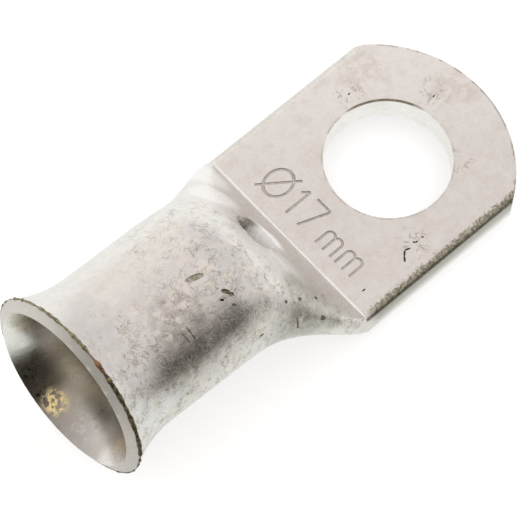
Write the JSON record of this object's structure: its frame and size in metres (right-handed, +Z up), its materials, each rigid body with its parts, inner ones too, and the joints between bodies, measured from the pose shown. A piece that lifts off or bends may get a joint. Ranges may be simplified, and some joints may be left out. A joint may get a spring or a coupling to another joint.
{
  "type": "copper cable lug",
  "caption": "Tinned copper tube lug: bell-mouthed crimp barrel for a stranded cable, sight hole in the pressed neck and a flat palm drilled for a stud.",
  "frame": {"origin": "centre of the stud hole on the underside of the palm", "axes": "+X from the cable mouth towards the round end of the palm, +Y across the palm, +Z up out of the palm's upper face along the stud hole"},
  "size_m": [0.0725, 0.0308, 0.0271],
  "materials": {
    "tinned_copper": "dull tin plating, mottled and scuffed"
  },
  "bodies": {
    "root": {"lug": "tinned_copper"}
  },
  "joints": []
}
